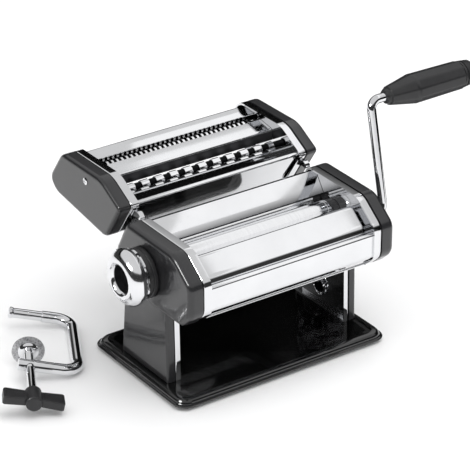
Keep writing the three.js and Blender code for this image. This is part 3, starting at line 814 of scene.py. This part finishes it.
# ---------- thickness dial ----------
class PASTA_OT_dial(Maker):
    """The domed thickness dial, its notched ring and its skirt"""

    bl_idname = "pasta.dial"
    bl_label = "Thickness dial"

    def execute(self, context):
        centre = axis_of("dial_cap")
        low, high = extent("dial_cap")
        x = low.x
        bm = turned([
            (high.x, 5.2), (high.x, 21.2), (high.x - 0.5, 22.2), (x + 9.6, 23.2), (x + 8.4, 23.4),
            (x + 7.2, 23.2), (x + 5.8, 22.5), (x + 4.2, 21.5), (x + 2.6, 20.2), (x + 1.3, 18.6),
            (x + 0.4, 16.8), (x, 15.2), (x + 0.1, 14.0), (x + 0.7, 12.9), (x + 1.8, 11.9),
            (x + 3.6, 11.0), (x + 5.6, 10.2), (x + 7.6, 9.2), (x + 8.1, 8.2), (x + 8.3, 6.0),
            (x + 8.4, 0), (x + 8.9, 0), (x + 8.9, 5.2),
            (high.x, 5.2)], centre, 96)
        cap = place("dial_cap_domed", bm, "chrome", "dial_knob", ["dial_cap"])
        # Inside this radius the cap's hollow is painted near black, a painted dark reflection; the cap is
        # chrome there too.
        cap_hollow = 11.6
        cap.data.materials[0] = ring_chrome("dial_chrome", centre, cap_hollow)
        low, high = extent("dial_notch_ring")
        r, bore = (high.z - low.z) / 2, 8.6
        bm = turned([
            (low.x, bore), (low.x, r - 0.8), (low.x + 0.5, r - 0.1), (high.x - 0.5, r),
            (high.x, r - 0.8), (high.x, bore), (low.x, bore)], centre, 120)
        rim = [v for v in bm.verts if Vector((v.co.y - centre[0], v.co.z - centre[1])).length > r - 1.2]
        notches, deep = 10, 0.93
        cut = [v for v in rim if math.cos(
            notches * math.atan2(v.co.z - centre[1], v.co.y - centre[0])) > 0.72]
        bmesh.ops.scale(bm, vec=(1, deep, deep), verts=cut,
                        space=Matrix.Translation((0, -centre[0], -centre[1])))
        place("dial_notch_ring_cut", bm, "chrome", "dial_knob", ["dial_notch_ring"])
        low, high = extent("dial_skirt")
        r = (high.z - low.z) / 2
        bm = turned([
            (high.x, bore), (high.x, r - 1.6), (high.x - 0.4, r - 0.4), (high.x - 1.2, r),
            (low.x + 4.6, r - 0.3), (low.x + 4.2, r - 0.9), (low.x + 3.6, r - 0.9), (low.x + 3.2, r - 0.4),
            (low.x + 0.8, r - 0.8), (low.x, r - 1.8), (low.x, bore), (high.x, bore)], centre, 96)
        place("dial_skirt_turned", bm, "plastic", "dial_knob", ["dial_skirt"])
        dress("steel", "dial_shaft", "dial_spring")
        return {"FINISHED"}


# ---------- cutter attachment ----------
RING_R = {"fine": 4.9, "wide": 4.1}


def ringed(node, rings, share, low_r, shift):
    """A cutting roller: rings that stand up from a thinner core, moved along by shift pitches."""
    low, high = extent(node)
    half, spindle, gear = ROLL_HALF + 2, 3, 86
    r = RING_R[node.split("_")[0]]
    pitch = 2 * ROLL_HALF / rings
    profile = [(low.x, 0), (low.x, spindle), (-half, spindle), (-half, low_r)]
    for i in range(rings):
        start = -ROLL_HALF + (i + shift) * pitch + pitch * (1 - share) / 2
        stop = min(start + pitch * share, half - 0.4)
        if stop > start:
            profile += [(start, low_r), (start, r), (stop, r), (stop, low_r)]
    profile += [(half, low_r), (half, spindle), (gear, spindle), (gear, r), (high.x, r), (high.x, 0)]
    return turned(profile, axis_of(node), 32)


class PASTA_OT_cutters(Maker):
    """The ringed cutting rollers, their combs, hooks and the cover's screw"""

    bl_idname = "pasta.cutters"
    bl_label = "Cutting rollers"

    def execute(self, context):
        for kind, rings, share, core in (("fine", sizes().fine_rings, 0.42, 3.5),
                                         ("wide", sizes().wide_rings, 0.52, 3.2)):
            for side, shift in (("rear", 0.5), ("front", 0.0)):
                node = f"{kind}_cutter_{side}"
                piece = place(node + "_ringed", ringed(node, rings, share, core, shift),
                              "chrome", node, [node])
                # The grooves between the rings are painted near black as painted shade; the rings
                # themselves are polished chrome.
                piece.data.materials[0] = ring_chrome(node + "_chrome", axis_of(node), RING_R[kind])
        dress("steel", "fine_comb", "wide_comb", "cutter_tie_rod")
        dress("chrome", "left_cutter_hook", "right_cutter_hook")
        low, high = extent("left_cutter_cover_screw")
        centre = axis_of("left_cutter_cover_screw")
        head = turned([
            (low.x, 0), (low.x + 0.05, 1.0), (low.x + 0.25, 1.9), (low.x + 0.55, 2.6), (low.x + 0.8, 3),
            (low.x + 0.8, 1.6), (high.x, 1.6), (high.x, 0)], centre, 40)
        slots = []
        for wide, tall in ((0.35, 1.7), (1.7, 0.35)):
            slot = bmesh.new()
            bmesh.ops.create_cube(slot, size=2, matrix=Matrix.Translation((low.x, *centre))
                                  @ Matrix.Diagonal((0.6, wide, tall, 1)))
            slots.append(slot)
        place("left_cutter_cover_screw_cross", combine(head, *slots), "chrome", "cutter",
              ["left_cutter_cover_screw"])
        return {"FINISHED"}


# ---------- table clamp ----------
CLAMP_AT = Matrix.Translation(ZERO + Vector((-135.4, 24.8, 4.9)) * MM) @ Matrix.Rotation(
    math.radians(-27.5), 4, "Z") @ Matrix.Rotation(math.radians(12.5), 4, "Y") @ Matrix.Scale(MM, 4)
SCREW_X, SCREW_R = -39.0, 3.9


class PASTA_OT_clamp(Maker):
    """The loose table clamp: bent bar, pad, screw and wing knob"""

    bl_idname = "pasta.clamp"
    bl_label = "Table clamp"

    def execute(self, context):
        r, thin, bend = 4.8, 4.1, 13.0
        spine, arm, tail = 83.0, 50.0, 9.5
        bar = swept((SCREW_X - tail, 0, 0), (1, 0, 0), r, [
            ("run", tail - SCREW_X - bend), ("bend", bend, 90, (0, 0, 1)), ("run", spine - 2 * bend),
            ("bend", bend, 90, (0, 0, 1)), ("run", arm - 25 - bend)], 32)
        soften(bar, 0.8, 2, 60)
        bar = combine(bar, rod(-8, 8, SCREW_R, (SCREW_X, 0), 40, "Y"))
        tip = gathered(bar, swept((-arm - 1, spine, 0), (1, 0, 0), thin, [("run", 27.5)], 32))
        bulb = turned([
            (-arm - 2, 0), (-arm - 2, 3.6), (-arm - 1.4, 4.5), (-arm - 0.4, 4.8), (-arm + 0.8, 4.6),
            (-arm + 2.0, 4.1), (-arm + 2.0, 0)], (spine, 0), 32)
        place("clamp_bar", gathered(tip, bulb), "chrome", "clamp", ["clamp_frame"], to_row=CLAMP_AT)
        pad = turned([
            (21.9, 0), (21.8, 8.4), (21.9, 12.4), (22.2, 13.1), (23.0, 13.2),
            (23.6, 12.7), (23.6, 0)], (SCREW_X, 0), 64, "Y")
        place("clamp_pad_disc", pad, "zinc", "clamp_pad", ["clamp_pad"], to_row=CLAMP_AT)
        dome = turned([
            (19.6, 0), (19.6, 4.6), (20.0, 5.8), (20.7, 6.9), (21.4, 7.6), (21.75, 8.3), (22.3, 8.3),
            (22.3, 0)], (SCREW_X, 0), 48, "Y")
        place("clamp_pad_dome", dome, "chrome", "clamp_pad", to_row=CLAMP_AT)
        pitch, threaded = sizes().screw_pitch, 24
        profile = [(-46, 0), (-46, 3.5), (-6.5, 3.5)]
        for i in range(int(threaded / pitch)):
            y = -6 + i * pitch
            profile += [(y, 3.15), (y + pitch / 2, 3.6)]
        profile += [(18.2, 3.2), (19.2, 2.6), (19.2, 0)]
        place("clamp_screw_threaded", turned(profile, (SCREW_X, 0), 32, "Y"), "chrome", "clamp_screw",
              ["clamp_screw"], to_row=CLAMP_AT)
        place("wing_knob_moulded", wing_knob(), "plastic", "clamp_screw", ["wing_knob"], to_row=CLAMP_AT)
        return {"FINISHED"}


def wing():
    """One flat wing of the knob, with a raised rim."""
    bm = bmesh.new()
    face = bm.faces.new([bm.verts.new((x, y, -3.4)) for x, y in
                         ((5.2, -6.0), (24.2, -8.2), (24.0, 7.4), (5.2, 6.4))])
    made = bmesh.ops.extrude_face_region(bm, geom=[face])
    bmesh.ops.translate(bm, verts=moved_verts(made), vec=(0, 0, 6.8))
    bmesh.ops.recalc_face_normals(bm, faces=bm.faces)
    bevel(bm, [e for e in bm.edges if abs(e.verts[0].co.z - e.verts[1].co.z) > 6
               and e.verts[0].co.x > 20], 2.4, 5)
    soften(bm, 0.8, 3, 50)
    bm.normal_update()
    for side in (1, -1):
        face = max((f for f in bm.faces if f.normal.z * side > 0.99), key=lambda f: f.calc_area())
        bmesh.ops.inset_region(bm, faces=[face], thickness=1.1, use_even_offset=True)
        bmesh.ops.inset_region(bm, faces=[face], thickness=0.5, depth=-0.8, use_even_offset=True)
    return bm


def wing_knob():
    """Two wings either side of a round hub that takes the screw."""
    hub = turned([
        (-9, 0), (-9, 4.8), (-8.6, 5.8), (-7.8, 6.4), (8.6, 6.8), (9.6, 6.3), (10, 5.2), (10, SCREW_R),
        (-3, SCREW_R), (-3, 0)], (0, 0), 48, "Y")
    knob = gathered(hub, wing(), mirrored(wing()))
    bmesh.ops.translate(knob, verts=knob.verts, vec=(SCREW_X, -51, 0))
    return knob


# ---------- stage ----------
def soft_box(name, at, facing, size, strength):
    light = bpy.data.lights.new(name, "AREA")
    light.shape, light.size, light.size_y, light.energy = "RECTANGLE", size[0], size[1], strength
    obj = bpy.data.objects.new(name, light)
    obj.location = at
    obj.rotation_euler = (Vector(facing) - Vector(at)).to_track_quat("-Z", "Y").to_euler()
    bpy.context.scene.collection.objects.link(obj)
    return obj


def card(name, corners, strength=0.0):
    """A flat screen that only the polished parts see, black or lit."""
    bm = bmesh.new()
    bm.faces.new([bm.verts.new(c) for c in corners])
    mesh = bpy.data.meshes.new(name)
    bm.to_mesh(mesh)
    bm.free()
    obj = bpy.data.objects.new(name, mesh)
    bpy.context.scene.collection.objects.link(obj)
    felt = Surface(name, Base_Color=(0.004, 0.004, 0.004, 1), Roughness=1.0, Specular_IOR_Level=0.0,
                   Emission_Color=(1, 1, 1, 1), Emission_Strength=strength)
    mesh.materials.append(felt.material)
    obj.visible_camera = obj.visible_shadow = obj.visible_diffuse = False


class PASTA_OT_stage(Maker):
    """Pale floor, soft lights and the camera"""

    bl_idname = "pasta.stage"
    bl_label = "Stage"

    def execute(self, context):
        scene = bpy.context.scene
        scene.view_settings.view_transform = "Standard"
        bm = bmesh.new()
        bmesh.ops.create_grid(bm, x_segments=8, y_segments=8, size=9)
        mesh = bpy.data.meshes.new("floor")
        bm.to_mesh(mesh)
        bm.free()
        floor = bpy.data.objects.new("floor", mesh)
        scene.collection.objects.link(floor)
        s = Surface("pale_floor", Specular_IOR_Level=0.1)
        mesh.materials.append(s.finish(
            Base_Color=s.mix(s.noise(3, 2), (0.90, 0.90, 0.905, 1), (0.92, 0.92, 0.92, 1)), Roughness=0.9))
        self.sky(scene)
        key = soft_box("key", (0.3, -0.6, 2.2), (0, 0, 0.05), (2.2, 2.2), 25)
        key.visible_glossy = False
        back, low, high = 0.40, 0.002, 1.2
        card("back_card", [(0.13, back, low), (1.4, back, low), (1.4, back, 0.372), (-0.6, back, 0.372),
                           (-0.6, back, 0.29), (0.13, back, 0.29)])
        card("right_card", [(0.7, -1.0, low), (0.7, 0.39, low), (0.7, 0.39, 0.5), (0.7, -1.0, 0.5)])
        card("right_floor_card", [(0.2, -0.05, 0.001), (1.2, -0.05, 0.001), (1.2, 0.39, 0.001),
                                  (0.2, 0.39, 0.001)])
        middle = [(1.05, -1.5), (1.0, -1.35), (0.66, -0.35), (0.70, 0.2), (0.83, 0.94), (0.96, 1.26)]
        card("overhead_strip", [(x - 0.13, y, high) for x, y in middle]
             + [(x + 0.13, y, high) for x, y in reversed(middle)], 1.12)
        card("left_window", [(-1.6, -0.5, 0.95), (-1.6, 0.25, 0.95), (-1.45, 0.25, 1.3),
                             (-1.45, -0.5, 1.3)], 20)
        self.camera(scene)
        return {"FINISHED"}

    def sky(self, scene):
        """Bright overhead dome over a dark horizon, as polished parts see it; white elsewhere."""
        world = bpy.data.worlds.new("studio")
        scene.world = world
        world.use_nodes = True
        sky = Nodes(world.node_tree)
        background = world.node_tree.nodes["Background"]
        sky.set(background.inputs["Color"], (1, 1, 1, 1))
        _, _, up = sky.split(sky.node("ShaderNodeTexCoord", output="Generated"))
        dome = sky.node("ShaderNodeMapRange", {"interpolation_type": "SMOOTHSTEP"}, {
            "Value": up, "From Min": 0.42, "From Max": 0.53, "To Min": 0.04, "To Max": 0.74})
        polished = sky.node("ShaderNodeLightPath", output="Is Glossy Ray")
        strength = sky.node("ShaderNodeMix", None, {0: polished, 2: 0.95, 3: dome})
        sky.set(background.inputs["Strength"], strength)

    def camera(self, scene):
        """A long lens at the left front, 28 degrees above the table."""
        lens, sensor = 196.85, 36.0
        azimuth, elevation = math.radians(-34.73), math.radians(27.61)
        back = Vector((math.sin(azimuth) * math.cos(elevation),
                       -math.cos(azimuth) * math.cos(elevation), math.sin(elevation)))
        right = (-back).cross(Vector((0, 0, 1))).normalized()
        up = right.cross(-back)
        data = bpy.data.cameras.new("view")
        data.lens, data.sensor_width, data.sensor_fit = lens, sensor, "HORIZONTAL"
        data.clip_start, data.clip_end = 0.05, 50
        camera = bpy.data.objects.new("view", data)
        away, leftwards, upwards = 2044.8, 1.93, 17.79
        at = Vector((0, 0, 76.8)) + back * away - right * leftwards + up * upwards
        turn = Matrix((right, up, back)).transposed().to_4x4()
        camera.matrix_world = Matrix.Translation(ZERO + at * MM) @ turn
        scene.collection.objects.link(camera)
        scene.camera = camera


MAKERS = [PASTA_OT_base, PASTA_OT_side_frames, PASTA_OT_covers, PASTA_OT_panels, PASTA_OT_rollers,
          PASTA_OT_bushes, PASTA_OT_crank, PASTA_OT_dial, PASTA_OT_cutters, PASTA_OT_clamp, PASTA_OT_stage]


class PASTA_PT_panel(bpy.types.Panel):
    """Lists the pieces and their sizes and colours"""

    bl_label = "Pasta Machine"
    bl_idname = "PASTA_PT_panel"
    bl_space_type = "VIEW_3D"
    bl_region_type = "UI"
    bl_category = "Pasta Machine"

    def draw(self, context):
        layout = self.layout
        for group in (context.scene.pasta_sizes, context.scene.pasta_colours):
            box = layout.box()
            for name in group.__annotations__:
                box.prop(group, name)
        for maker in MAKERS:
            layout.operator(maker.bl_idname)


CLASSES = [PastaSizes, PastaColours, *MAKERS, PASTA_PT_panel]


def register():
    for cls in CLASSES:
        bpy.utils.register_class(cls)
    bpy.types.Scene.pasta_sizes = bpy.props.PointerProperty(type=PastaSizes)
    bpy.types.Scene.pasta_colours = bpy.props.PointerProperty(type=PastaColours)


def unregister():
    del bpy.types.Scene.pasta_colours
    del bpy.types.Scene.pasta_sizes
    for cls in reversed(CLASSES):
        bpy.utils.unregister_class(cls)


def main():
    register()
    for maker in MAKERS:
        group, name = maker.bl_idname.split(".")
        getattr(getattr(bpy.ops, group), name)()


if __name__ == "__main__":
    main()
